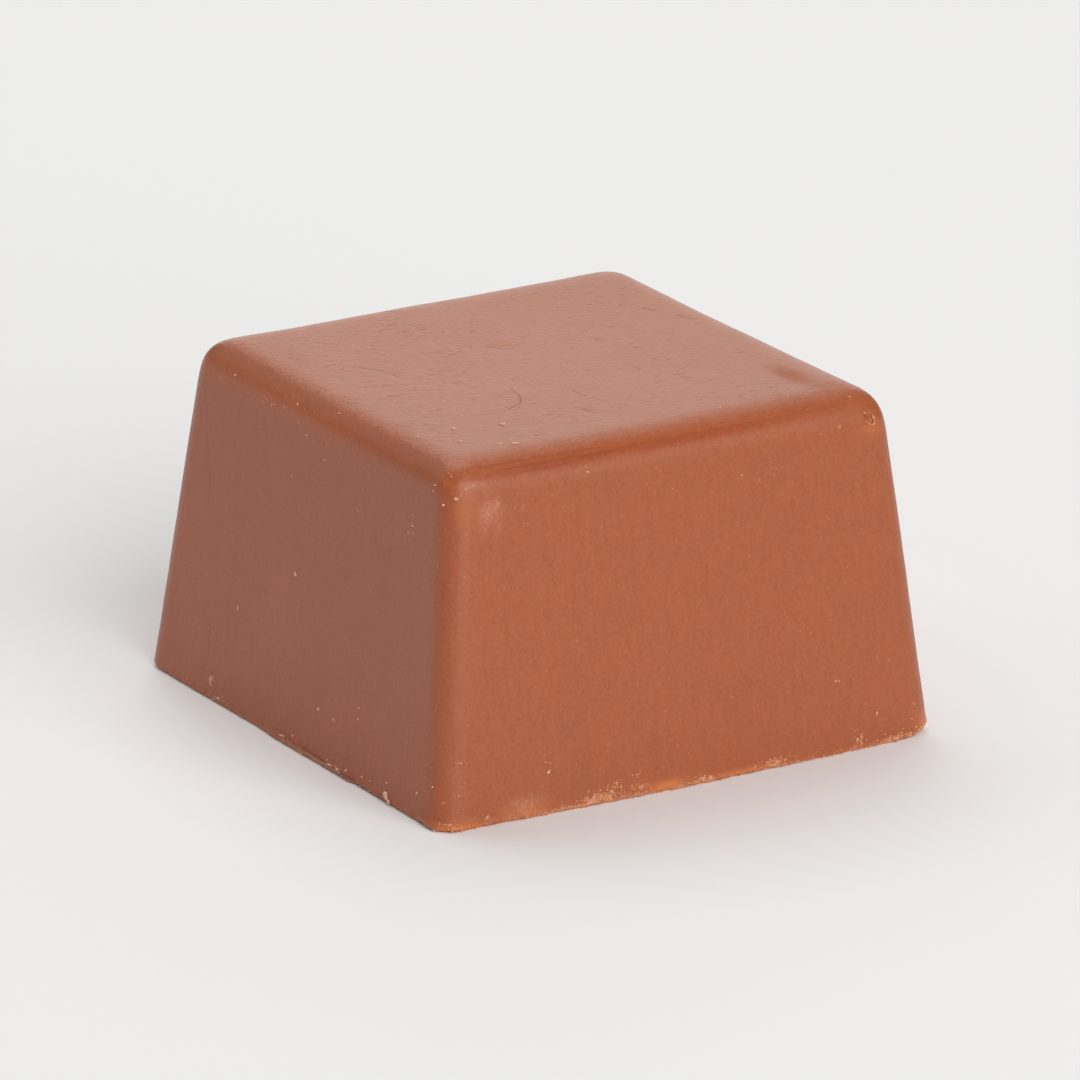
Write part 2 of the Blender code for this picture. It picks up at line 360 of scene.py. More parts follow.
# spots of the skin, as above: rubbed pale, crumbly pale with a painted highlight and a painted glow,
# warmer with painted light in places, deeper in colour as painted shade, dull, combed in fine lines, and
# painted light, lighter or darker by a share
skinSpots = {
    "rubbed": {
        "patch": ((-10.05, -11.75, 14.35), (0.45, 1, 0.5), 0.78),
        "patchTip": ((-9.55, -11.75, 14.76), (0.2, 1, 0.13), 0.95),
        "patchSide": ((-9.35, -11.75, 14.35), (0.16, 1, 0.16), 0.35),
        "tailLeft": ((-10.3, -11.8, 13.75), (0.15, 1, 0.4), 0.4),
        "tailRight": ((-9.5, -11.8, 13.65), (0.15, 1, 0.2), 0.4),
        "dab": ((-8.25, -11.75, 14.36), (0.1, 1, 0.14), 0.45),
        "smear": ((-10.55, -11.4, 15.66), (0.45, 0.6, 0.1), 0.45),
        "foot": ((-9, -13.4, 0.6), (0.9, 1, 0.45), 0.65),
        "footLow": ((-8.7, -13.4, 0.15), (1.2, 1, 0.2), 0.45),
        "rightRise": ((13.1, -12.9, 0.7), (0.6, 0.7, 0.6), 0.55),
        "streak": ((8.88, -11.66, 15.24), (0.05, 1, 0.16), 0.5),
        "lip": ((-13.45, -2.6, 0.18), (1, 2.8, 0.14), 0.45),
    },
    "crumbled": {
        "dense": ((-5.1, -13.5, 0.36), (0.95, 1, 0.34), 1),
        "denseTail": ((-4.3, -13.5, 0.85), (0.35, 1, 0.22), 0.6),
        "pale": ((-3, -13.5, 0.5), (0.75, 1, 0.35), 0.75),
        "low": ((-6.9, -13.5, 0.12), (0.9, 1, 0.16), 0.8),
        "middle": ((0.5, -13.6, 0.25), (0.7, 1, 0.22), 0.9),
        "right": ((4.4, -13.6, 0.35), (1.1, 1, 0.25), 0.75),
        "arc": ((9, -13.5, 0.45), (0.35, 1, 0.3), 0.9),
        "corner": ((11.3, -13.3, 0.15), (1.1, 1, 0.2), 1.1),
        "cornerEnd": ((12.9, -12.9, 0.3), (0.6, 0.7, 0.35), 1),
        # painted highlight: the pale top line of the foot's ledge, where it catches the light
        "ledge": ((-12.9, -13.1, 0.4), (0.8, 0.7, 0.09), 0.8),
        "farLeft": ((-13.4, 9.5, 0.08), (1, 3.5, 0.12), 0.6),
        "backRight": ((13.4, 3, 0.25), (1, 4, 0.28), 0.8),
        "backFar": ((13.4, 10.5, 0.4), (1, 1.6, 0.35), 0.9),
        "behind": ((-4, 13.4, 0.2), (3, 1, 0.2), 0.8),
    },
    "warmed": {
        "strip": ((-1.5, -13.6, 0.32), (0.9, 1, 0.24), 1.2),
        "stripEnd": ((2.2, -13.6, 0.2), (1.6, 1, 0.2), 0.6),
        "foot": ((-12.5, -13, 0.1), (1.1, 1.1, 0.26), 1.4),
        "haze": ((-8.9, -13.4, 0.3), (1.1, 1, 0.5), 0.32),
        "nick": ((10.65, -11.75, 14.92), (0.55, 1, 0.3), 0.5),
        "nickHollow": ((10.5, -11.62, 15.38), (0.25, 1, 0.2), 0.4),
        # painted highlight: a lighter, warmer patch at the front top corner
        "frontCorner": ((-11.2, -11.6, 14.6), (0.45, 1, 0.75), 0.25),
        "rightEnd": ((12.9, -13.1, 0.5), (0.6, 0.6, 0.5), 0.6),
        "leftFace": ((-12.9, 2.4, 6.3), (1, 1.3, 2.2), 0.12),
        # painted light: a lighter, warmer line along the base of the left face, over the shade where it
        # meets the floor
        "leftRim": ((-13.4, 5, 0.05), (1, 9, 0.14), 0.5),
    },
    # painted shade: darker, deeper colour along the front and left top edges and in the nick's hollow
    "paintedShade": {
        "frontEdge": ((-5.5, -11.3, 15.85), (5.5, 1, 0.24), 0.8),
        "nick": (nickPlace, (0.2, 1, 0.16), 0.8),
        "frontEdgeMiddle": ((2.5, -11.3, 15.85), (4.5, 1, 0.2), 0.65),
        "leftEdge": ((-11.4, -1, 15.75), (1, 7, 0.3), 0.25),
    },
    "dulled": {
        "nick": (nickPlace, (0.3, 1, 0.24), 1),
        "frontCorner": ((-11.3, -11.5, 14.9), (0.8, 0.8, 0.7), 0.8),
        "rightPatch": ((8.9, -7.3, 16.5), (0.7, 1.6, 1), 0.8),
        "ledge": ((-12.7, -13, 0.44), (1.3, 1.3, 0.16), 1),
        "rightPatchEnd": ((9.6, -9.6, 16.5), (1, 0.7, 1), 0.5),
        "leftShade": ((-9.4, 6.6, 16.5), (0.6, 2.2, 1), 0.35),
    },
    "combed": {
        "nearCorner": ((-9.7, -6.2, 16.5), (1.1, 4.2, 1), 1),
        "leftSide": ((-10, 3.5, 16.4), (0.8, 4.5, 1), 0.5),
        "ribs": ((9.1, -3.6, 16.5), (0.7, 1.2, 1), 0.5),
    },
    # painted light: the left top edge and the top made lighter in colour, the top most, as light falls on
    # them
    "paintedLightTone": {
        "leftEdge": ((-11.6, 4, 15.3), (1, 10, 0.55), 0.14),
        "leftEdgeLine": ((-11.7, 2, 15.66), (1, 12, 0.22), 0.14),
        "top": ((0, 0, 18), (16, 16, 1.55), 0.53),
    },
}


def bodyRelief(points):
    # broad and fine waves, a rougher rim low on the sides, and the named hollows
    low = heightBand(points, wear["rimHeight"])
    push = bumpField(points, wear["relief"].values())
    for name, share in (("broad", 1), ("fine", 1), ("rim", low)):
        length, depth, seed = wear[name]
        push += depth * share * waves(points, length, seed)
    return push


def makeBlock():
    # the surface moved in by the pull less the relief, never outwards, with the flat side
    # scraped upwards by depth * (1 + waves), and the skin's spots, painted light and shade among them,
    # kept as attributes
    points, quads, fan = blockLattice()
    normals = pointNormals(points, quads, fan)
    shift = normals * np.minimum(bodyRelief(points) - wear["pull"], 0)[:, None]
    under = points[:, 2] < wear["flatBelow"]
    inside = 1 - np.abs(points[:, :2]).max(axis=1) / baseHalf
    length, depth, seed = wear["scrape"]
    scrape = depth * (1 + np.clip(waves(points * wear["scrapeStretch"], length, seed), -1, 1))
    shift[under, 2] = (scrape * smoothStep(inside, *wear["scrapeStarts"]))[under]
    points = points + shift
    points[:, 2] = np.maximum(points[:, 2], 0)
    body = meshObject("bonbonBody", points, quads.tolist() + fan.tolist())
    low = points[:, 2] < wear["bandHeight"] / 2
    nearRim = 1 - smoothStep(inside, *wear["bandEnds"]) * low
    # painted glow along the base on the right, given to the crumbly and the warmer spots by their shares
    band = heightBand(points, wear["bandHeight"]) * toRight(points, wear["bandStarts"])
    for name, spots in skinSpots.items():
        values = bumpField(points, spots.values()) + wear["bandShare"].get(name, 0) * band
        addAttribute(body, name, np.clip(values * nearRim, 0, 1))
    return body, points, normals


# the chocolate, all over the block
chocolate = {
    "colour": (0.37, 0.0907, 0.031),
    "rubbedColour": (0.55, 0.235, 0.145),
    "orangeCrumb": (0.64, 0.21, 0.07),
    "paleCrumb": (0.8, 0.42, 0.26),
    # also the colour of the painted light at the left rim, at the front top corner and in the glow along
    # the base
    "warmColour": (0.62, 0.18, 0.045),
    "warmShare": 0.85,
    # colour of the painted shade on the top edges and in the nick's hollow
    "paintedShadeColour": (0.33, 0.058, 0.012),
    "hairColour": (0.17, 0.04, 0.015),
    "hairShare": 0.8,
    "scuffColour": (0.24, 0.052, 0.018),
    "scuffShare": 0.65,
    "roughness": (0.33, 0.39),
    "dullRoughness": 0.62,
    "markDullness": 0.6,
    "scuffDullness": 0.8,
    "ior": 1.5,
    # noise scale per mm, roughness, and how far it changes the colour
    "mottle": (0.5, 0.6, 0.018),
    "grain": (6, 0.7, 0.085),
    "streak": (3.5, 0.5, 0.025),
    "speckle": (7, 0.65, 0),
    "streakWays": ((1, 1, 0.06), (1, 0.1, 0)),  # stretch on the sides, on the top
    "pore": (3.6, 0.2, 0.7),  # cells per mm, share of them, how pale
    "poreEdge": (0.06, 0.2),
    "noiseRange": (0.3, 0.7),  # where nearly all the values of a noise lie
    # values between which a pale place, a crumb or a scuffed patch begins and is full, and
    # its shares below and above them
    "rubbedBreaks": (0.36, 0.62, 0.25, 1),
    "crumbSpeckle": (0.2, 0.8, -1, 0),
    "crumbBreaks": (0.1, 0.45, 0, 0.9),
    "crumbMix": (0.42, 0.62, 0, 1),
    "scuffPatches": (0.42, 0.6, 0.15, 1),
    # turn in degrees, scale along and across, and the noise value where a scuff begins
    "scuffs": ((-28, (1.3, 6), 0.655), (48, (1.7, 7), 0.665)),
    "scuffEdge": 0.08,
    "hairCore": 0.2,  # share of a hairline's width that has its full strength
    "wander": (1.6, (0.25, 0.25, 0.07)),  # of the hairlines: noise scale and reach
    # heights or places between which a face's marks begin or end, from one share to another
    "topStarts": (15.9, 16.4, 0, 1),
    "baseEnds": (0.02, 0.06, 1, 0),
    "frontEnds": (-9, -8, 1, 0),
    "leftEnds": (-10, -9, 1, 0),
    # depths of the relief; of the ripples and the scraping also stretch and noise scale
    "grainDepth": 0.003,
    "topGrainDepth": 0.034,
    "combDepth": 0.03,
    "crumbDepth": 0.05,
    "ripple": ((1, 0.75, 0), 2.6, 0.05),
    "rippleSway": 24,  # with the mottling
    "rippleEnds": (-22, -10, 1, 0.25),
    "scrape": ((3, 0.12, 1), 1.6, 0.03),
}
# dark hairlines: start, end, width and strength, as seen on the top (x, y), on the front
# face (x, z) and on the left face (y, z)
hairlines = {
    "top": [
        (-3.27, -2.54, -3.38, -3.6, 0.06, 0.8),
        (-3.38, -3.6, -3.91, -4.54, 0.07, 0.9),
        (-3.91, -4.54, -5.15, -5.16, 0.07, 0.8),
        (-5.15, -5.16, -6.43, -5.25, 0.06, 0.5),
        (-0.96, -4.22, -0.74, -5.2, 0.06, 0.8),
        (-0.74, -5.2, -0.23, -7.18, 0.05, 0.4),
        (0.52, -1.66, 2.19, -1.6, 0.06, 0.35),
        (3.35, -1.93, 3.55, -3.08, 0.08, 0.45),
        (3.55, -3.08, 3.55, -4.63, 0.07, 0.35),
        (-1.92, -6.7, -1.72, -7.49, 0.16, 0.55),
        (-0.83, 3.46, -0.06, 2.49, 0.18, 0.45),
        (-7.74, 3.83, -6.97, 2.7, 0.08, 0.85),
        (-6.97, 2.7, -6.7, 1.34, 0.08, 0.7),
        (0.46, 9.96, 1.6, 10.45, 0.08, 0.5),
        (1.6, 10.45, 2.75, 10.73, 0.07, 0.6),
        (-2.09, 10.37, -1.86, 9.85, 0.1, 0.8),
        (8.43, 4.62, 8.79, 4.05, 0.11, 0.75),
        (9.39, 2.81, 9.59, 2.08, 0.08, 0.7),
        (-8.72, -1.57, -8.48, -1.87, 0.09, 0.7),
    ],
    "front": [
        (-10.2, 16.22, -4, 16.15, 0.05, 0.35),
        (-9.2, 16.02, -3, 15.95, 0.06, 0.45),
        (-8.4, 15.8, -5, 15.78, 0.05, 0.35),
        (-3, 16, 9.6, 16.05, 0.05, 0.25),
        (10.34, 15.5, 10.44, 15.32, 0.12, 0.7),
        (10.44, 15.32, 10.62, 15.38, 0.1, 0.6),
    ],
    "left": [
        (8.15, 3.8, 7.95, 2.3, 0.05, 0.5),
        (10.5, 14.3, 9.2, 9.8, 0.045, 0.5),
        (9.2, 9.8, 9.1, 8.4, 0.04, 0.3),
        (0.75, 0.42, -1.2, 0.41, 0.05, 0.7),
        (-1.2, 0.41, -3, 0.37, 0.08, 1),
        (-3, 0.37, -5.8, 0.24, 0.07, 1),
        (-6, 0.12, -6.5, 0.08, 0.1, 1),
        (-11.4, 0.08, -12.4, 0.07, 0.07, 0.9),
    ],
}


class Nodes:
    # short calls for building one material's node tree
    def __init__(self, tree):
        self.tree = tree

    def add(self, kind, settings, *values, **inputs):
        # a node with its settings, its inputs given in their order or by name
        node = self.tree.nodes.new(kind)
        for key, value in settings.items():
            setattr(node, key, value)
        self.put(node, [*enumerate(values), *inputs.items()])
        return node

    def put(self, node, inputs):
        for key, value in inputs:
            if isinstance(value, bpy.types.NodeSocket):
                self.tree.links.new(value, node.inputs[key])
            else:
                node.inputs[key].default_value = value

    def math(self, operation, *values, clamp=False):
        settings = {"operation": operation, "use_clamp": clamp}
        return self.add("ShaderNodeMath", settings, *values).outputs[0]

    def times(self, first, *others):
        for other in others:
            first = self.math("MULTIPLY", first, other)
        return first

    def larger(self, first, second):
        return self.math("MAXIMUM", first, second)

    def vector(self, operation, *values, out=0, **inputs):
        return self.add("ShaderNodeVectorMath", {"operation": operation}, *values, **inputs).outputs[out]

    def noise(self, vector, scale, detail=2, roughness=0.5, out="Fac"):
        facts = {"Vector": vector, "Scale": scale, "Detail": detail, "Roughness": roughness}
        return self.add("ShaderNodeTexNoise", {}, **facts).outputs[out]

    def ramp(self, value, low, high, start=0, stop=1):
        # start below low, stop above high, an S curve between them
        curve = {"interpolation_type": "SMOOTHSTEP"}
        return self.add("ShaderNodeMapRange", curve, value, low, high, start, stop).outputs[0]

    def mix(self, share, first, second, blend="MIX"):
        node = self.add("ShaderNodeMix", {"data_type": "RGBA", "blend_type": blend}, share)
        colours = ((*part, 1) if isinstance(part, tuple) else part for part in (first, second))
        self.put(node, zip((6, 7), colours))
        return node.outputs[2]

    def attribute(self, name):
        return self.add("ShaderNodeAttribute", {"attribute_name": name}).outputs["Fac"]

    def place(self):
        # the piece's own coordinates in millimetres
        coords = self.add("ShaderNodeTexCoord", {}).outputs["Object"]
        return self.vector("MULTIPLY", coords, (1 / mm, 1 / mm, 1 / mm))

    def split(self, vector):
        return self.add("ShaderNodeSeparateXYZ", {}, vector).outputs


def newMaterial(name):
    # the material, its node calls and its own shader
    material = bpy.data.materials.new(name)
    material.use_nodes = True
    return material, Nodes(material.node_tree), material.node_tree.nodes["Principled BSDF"]


def skinPatterns(nodes):
    # the places and noises that the colour and the relief share: broad mottling, fine
    # grain, speckle, and streaks that run up the sides and along the top
    look = chocolate
    place = nodes.place()
    x, y, z = nodes.split(place)
    skin = {"place": place, "x": x, "y": y}
    skin["onTop"] = nodes.ramp(z, *look["topStarts"])
    skin["onBase"] = nodes.ramp(z, *look["baseEnds"])
    for name in ("mottle", "grain", "speckle"):
        scale, roughness, _ = look[name]
        skin[name] = nodes.noise(place, scale, 2, roughness)
    upward, along = (nodes.vector("MULTIPLY", place, way) for way in look["streakWays"])
    drawn = nodes.add("ShaderNodeMix", {"data_type": "VECTOR"}, skin["onTop"])
    nodes.put(drawn, ((4, upward), (5, along)))
    skin["streak"] = nodes.noise(drawn.outputs[1], look["streak"][0], 1)
    return skin


def plainColour(nodes, skin):
    # the colour with the painted shade mixed in, times 1 plus the painted light share, times 1 plus or
    # minus the spread of each pattern
    look = chocolate
    # painted light that lightens the top and the left top edge, then times the random mottling, grain and
    # streaks
    paintedLightTone = nodes.math("ADD", nodes.attribute("paintedLightTone"), 1)
    for name in ("mottle", "grain", "streak"):
        spread = look[name][2]
        change = nodes.ramp(skin[name], *look["noiseRange"], 1 - spread, 1 + spread)
        paintedLightTone = nodes.times(paintedLightTone, change)
    # painted shade mixed into the colour
    base = nodes.mix(nodes.attribute("paintedShade"), look["colour"], look["paintedShadeColour"])
    grey = nodes.add("ShaderNodeCombineColor", {}, paintedLightTone, paintedLightTone, paintedLightTone).outputs[0]
    return nodes.mix(1, base, grey, "MULTIPLY")


def paleMarks(nodes, skin, colour):
    # pale pores, the rubbed places, the warmer places with their painted light, and the crumbly rim with
    # its painted highlight and painted glow, one over another
    look = chocolate
    density, share, pale = look["pore"]
    pores = nodes.add("ShaderNodeTexVoronoi", {}, skin["place"], Scale=density)
    drawn = nodes.add("ShaderNodeSeparateColor", {}, pores.outputs["Color"]).outputs[0]
    dot = nodes.ramp(pores.outputs["Distance"], *look["poreEdge"], pale, 0)
    pore = nodes.times(dot, nodes.ramp(drawn, 1 - share, 1))
    colour = nodes.mix(pore, colour, look["rubbedColour"])
    broken = nodes.ramp(skin["speckle"], *look["rubbedBreaks"])
    colour = nodes.mix(nodes.times(nodes.attribute("rubbed"), broken), colour, look["rubbedColour"])
    # warmer places, with painted light at the left rim, the front top corner and along the base
    warmed = nodes.math("MULTIPLY", nodes.attribute("warmed"), look["warmShare"], clamp=True)
    colour = nodes.mix(warmed, colour, look["warmColour"])
    # the crumbly rim, with the painted highlight on the ledge and the painted glow along the base
    taken = nodes.ramp(skin["speckle"], *look["crumbSpeckle"])
    broken = nodes.math("ADD", nodes.attribute("crumbled"), taken)
    crumbMix = nodes.ramp(skin["grain"], *look["crumbMix"])
    crumbly = nodes.mix(crumbMix, look["orangeCrumb"], look["paleCrumb"])
    return nodes.mix(nodes.ramp(broken, *look["crumbBreaks"]), colour, crumbly)


def scuffMask(nodes, skin):
    # short thin spots of two noises, each drawn out its own way, in patches of the top
    look = chocolate
    scuff = 0
    for angle, scale, low in look["scuffs"]:
        ways = {"Rotation": (0, 0, math.radians(-angle)), "Scale": (*scale, 1)}
        turned = nodes.add("ShaderNodeMapping", {}, skin["place"], **ways)
        spots = nodes.noise(turned.outputs[0], 1, 1)
        scuff = nodes.larger(scuff, nodes.ramp(spots, low, low + look["scuffEdge"]))
    return nodes.times(scuff, nodes.ramp(skin["mottle"], *look["scuffPatches"]), skin["onTop"])


def hairlineMask(nodes, place, lines, flat):
    # for each line from a to b: t = clamp((p - a).(b - a) / |b - a|^2), and the mask falls
    # from the line's strength where |p - a - t (b - a)| is 0 to nothing past its width
    seen = nodes.vector("MULTIPLY", place, flat)
    i, j = (index for index, used in enumerate(flat) if used)
    total = 0
    for *ends, width, strength in lines:
        a, b = Vector(), Vector()
        a[i], a[j], b[i], b[j] = ends
        way = b - a
        off = nodes.vector("SUBTRACT", seen, tuple(a))
        dot = nodes.vector("DOT_PRODUCT", off, tuple(way), out=1)
        share = nodes.math("MULTIPLY", dot, 1 / way.length_squared, clamp=True)
        along = nodes.vector("SCALE", tuple(way), Scale=share)
        gap = nodes.vector("LENGTH", nodes.vector("SUBTRACT", off, along), out=1)
        line = nodes.ramp(gap, chocolate["hairCore"] * width, width, strength, 0)
        total = nodes.larger(total, line)
    return total


def allHairlines(nodes, skin):
    # the hairlines of the three faces, on a place that wanders a little
    look = chocolate
    scale, reach = look["wander"]
    wander = nodes.noise(skin["place"], scale, 1, out="Color")
    shake = nodes.vector("MULTIPLY", nodes.vector("SUBTRACT", wander, (0.5, 0.5, 0.5)), reach)
    shaken = nodes.vector("ADD", skin["place"], shake)
    onFront = nodes.ramp(skin["y"], *look["frontEnds"])
    onLeft = nodes.ramp(skin["x"], *look["leftEnds"])
    hair = 0
    for face, flat, here in (
        ("top", (1, 1, 0), skin["onTop"]),
        ("front", (1, 0, 1), onFront),
        ("left", (0, 1, 1), onLeft),
    ):
        mask = hairlineMask(nodes, shaken, hairlines[face], flat)
        hair = nodes.larger(hair, nodes.times(mask, here))
    return hair


def skinHeight(nodes, skin):
    # the sum of the grain, the fine lines, the ripples, which come and go over the top and
    # are strongest towards the left, the scraped flat side and the crumbling rim
    look = chocolate
    onTop = skin["onTop"]
    depth = nodes.ramp(onTop, 0, 1, look["grainDepth"] * mm, look["topGrainDepth"] * mm)
    combed = nodes.times(nodes.attribute("combed"), look["combDepth"] * mm)
    stretch, scale, rippleDepth = look["ripple"]
    ripple = nodes.noise(nodes.vector("MULTIPLY", skin["place"], stretch), scale, 3, 0.6)
    swayed = nodes.math("MULTIPLY_ADD", skin["mottle"], -look["rippleSway"], skin["x"])
    toLeft = nodes.ramp(swayed, *look["rippleEnds"])
    stretch, scale, scrapeDepth = look["scrape"]
    scraped = nodes.noise(nodes.vector("MULTIPLY", skin["place"], stretch), scale, 1, 0.6)
    height = nodes.times(skin["grain"], depth)
    for shape, tall in (
        (skin["streak"], combed),
        (nodes.times(ripple, toLeft, onTop), rippleDepth * mm),
        (nodes.times(scraped, skin["onBase"]), scrapeDepth * mm),
        (nodes.times(nodes.attribute("crumbled"), skin["speckle"]), look["crumbDepth"] * mm),
    ):
        height = nodes.math("MULTIPLY_ADD", shape, tall, height)
    return height


def chocolateMaterial():
    # colour, dullness and relief, each from the same patterns of the skin
    look = chocolate
    material, nodes, surface = newMaterial("milkChocolate")
    skin = skinPatterns(nodes)
    scuff = scuffMask(nodes, skin)
    hair = allHairlines(nodes, skin)
    colour = paleMarks(nodes, skin, plainColour(nodes, skin))
    colour = nodes.mix(nodes.times(scuff, look["scuffShare"]), colour, look["scuffColour"])
    colour = nodes.mix(nodes.times(hair, look["hairShare"]), colour, look["hairColour"])

    # the skin is duller in the scuffs and hairlines
    marks = nodes.larger(hair, nodes.times(scuff, look["scuffDullness"]))
    marks = nodes.times(marks, look["markDullness"])
    dull = nodes.larger(nodes.attribute("dulled"), marks)
    gloss = nodes.ramp(skin["grain"], *look["noiseRange"], *look["roughness"])
    rough = nodes.ramp(dull, 0, 1, gloss, look["dullRoughness"])
    bump = nodes.add("ShaderNodeBump", {}, Height=skinHeight(nodes, skin), Strength=1, Distance=1)
    nodes.put(
        surface,
        (("Base Color", colour), ("Roughness", rough), ("IOR", look["ior"]), ("Normal", bump.outputs[0])),
    )
    return material


body, bodyPoints, bodyNormals = makeBlock()
body.data.materials.append(chocolateMaterial())
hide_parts("bonbon")
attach(body, "root")
print("block made:", len(bodyPoints), "points")


# crumbs that lie on the skin, most of them along the base
crumbs = {
    "seed": 21,
    # middle, reach, how many, and the smallest and largest half length
    "clusters": [
        ((-5, -13.5, 0.3), (0.9, 1, 0.22), 240, 0.016, 0.05),
        ((-4.3, -13.5, 0.8), (0.3, 1, 0.16), 22, 0.02, 0.06),
        ((-3.15, -13.5, 1.1), (0.16, 1, 0.14), 10, 0.03, 0.06),
        ((-2.9, -13.5, 0.5), (0.6, 1, 0.24), 26, 0.02, 0.05),
        ((-12.1, -13, 3.15), (0.15, 0.5, 0.1), 10, 0.02, 0.055),
        ((-12, -13.1, 1.92), (0.2, 0.5, 0.12), 9, 0.02, 0.05),
        ((-12.5, -4, 12.5), (1, 0.25, 0.25), 5, 0.015, 0.03),
        ((-11.9, 4.9, 15.1), (0.5, 0.5, 0.2), 14, 0.014, 0.03),
        ((-11.8, 9, 15.2), (0.5, 0.5, 0.25), 8, 0.014, 0.035),
        ((0.4, -13.6, 0.3), (0.5, 1, 0.16), 30, 0.02, 0.06),
        ((4.4, -13.6, 0.4), (0.9, 1, 0.18), 46, 0.02, 0.06),
        ((9.05, -13.5, 0.55), (0.2, 1, 0.16), 26, 0.025, 0.07),
        ((8.85, -13.4, 1), (0.14, 1, 0.35), 12, 0.02, 0.035),
        ((11.2, -13.3, 0.2), (0.75, 1, 0.14), 70, 0.025, 0.075),
        ((12.9, -13, 0.35), (0.4, 0.6, 0.22), 44, 0.02, 0.06),
        ((-12.4, -13.2, 0.25), (0.7, 0.7, 0.15), 26, 0.02, 0.06),
        ((7.95, -13.2, 3.5), (0.1, 1, 0.13), 5, 0.04, 0.07),
        ((-7.9, -13.2, 2.6), (0.3, 1, 0.8), 12, 0.02, 0.04),
        ((-5.9, -11.9, 14), (0.5, 1, 0.4), 6, 0.015, 0.03),
        ((5.2, -11.9, 13.7), (1.4, 1, 0.45), 18, 0.018, 0.04),
        ((-13.4, 6.8, 0.32), (1, 0.9, 0.12), 14, 0.02, 0.05),
        ((-13.4, -3.4, 0.36), (1, 0.9, 0.08), 10, 0.02, 0.05),
        ((-12.2, -8.5, 13.2), (1, 0.35, 0.6), 10, 0.02, 0.04),
        ((-11.5, 3.5, 15.5), (0.5, 3, 0.4), 16, 0.015, 0.035),
        ((13.3, 3, 0.28), (1, 3.5, 0.18), 90, 0.02, 0.065),
        ((13.3, 10.5, 0.35), (1, 1.5, 0.25), 50, 0.02, 0.07),
        ((-4, 13.4, 0.22), (3, 1, 0.15), 80, 0.02, 0.065),
        ((6.5, 13.1, 2.4), (0.5, 1, 0.5), 12, 0.02, 0.05),
    ],
    "skin": (0.03, 16.3),  # heights between which the crumbs lie
    "margin": 0.001,  # from the sides of the frame's own box
    "jitter": 0.09,
    "slimness": (0.55, 0.95),  # width as a share of the length
    # crumbs low on the rim and dust over all the sides: how many, smallest and largest half
    # length, and their share on the left
    "rim": (420, (0.016, 0.05), 0.12),
    "dust": (420, (0.01, 0.026), 0.4),
    "rimHeight": 0.13,
    "rimStarts": (-2, 6),  # x - y where they begin and where they are full
    # the crumbly line along the base, the same, with its half height and its middle
    "line": (1300, (0.018, 0.046)),
    "lineBand": (0.12, 0.13),
    "lineStarts": (1, 5),
    "lineSlimness": 0.75,
    "lineUneven": (1.6, 8),  # wavelength and seed
    "lineWeights": (0.6, 0.05, 1.6),  # middle and swing, least and most
    "seeds": {"rim": 71, "dust": 72, "line": 81, "sizes": 82, "lumps": 83, "flecks": 91, "rings": 101},
    # two colours mixed by a noise, and paler ones on the top and the left face, a painted sheen
    "colours": ((0.54, 0.18, 0.075), (0.78, 0.39, 0.235)),
    "paintedSheenColours": ((0.72, 0.4, 0.27), (0.9, 0.62, 0.46)),
    "paintedSheenTop": (16.3, 16.5),
    "paintedSheenLeft": (0.12, 0.3, 0.9, 0),  # distance in from the left face, and shares
    "mottle": (4, 3, 0.7),  # noise scale per mm, detail and roughness
    "mottleRange": (0.35, 0.65),
    "roughness": 0.5,
}
lump = {
    "divisions": 2,
    "rough": 0.3,
    "thickness": (0.6, 0.95),  # as a share of the width
    "lift": 0.25,  # of the middle, as a share of the thickness
}
